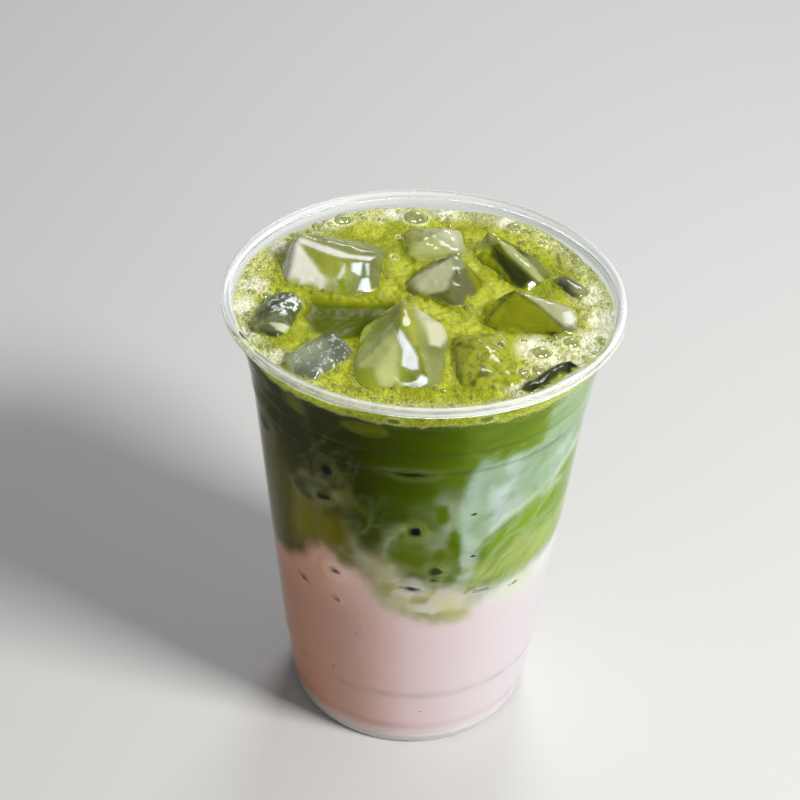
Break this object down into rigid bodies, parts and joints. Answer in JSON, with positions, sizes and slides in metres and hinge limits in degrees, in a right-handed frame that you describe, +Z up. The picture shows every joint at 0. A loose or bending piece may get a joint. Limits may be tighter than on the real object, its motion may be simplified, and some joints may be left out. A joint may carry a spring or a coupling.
{
  "type": "iced matcha latte",
  "caption": "Clear plastic cold cup with a rolled rim, filled with pink milk under swirled green matcha, with bubbly foam and chipped ice standing out on top.",
  "frame": {"origin": "middle of the cup's foot, on the table", "axes": "+Z up along the cup's axis, -Y towards the front that the picture shows, +X to its right"},
  "size_m": [0.098, 0.098, 0.125],
  "materials": {
    "cup_plastic": "clear, glossy",
    "pink_milk": "opaque pale pink milk",
    "matcha": "cloudy green with pale milk swirls",
    "matcha_foam": "bubbly yellow-green foam",
    "ice": "clear with cloudy patches, wet"
  },
  "bodies": {
    "root": {"cup": "cup_plastic", "milk_layer": "pink_milk", "matcha_layer": "matcha", "foam_layer": "matcha_foam", "ice_01": "ice", "ice_02": "ice", "ice_03": "ice", "ice_04": "ice", "ice_05": "ice", "ice_06": "ice", "ice_07": "ice", "ice_08": "ice", "ice_09": "ice", "ice_10": "ice", "ice_11": "ice"}
  },
  "joints": []
}
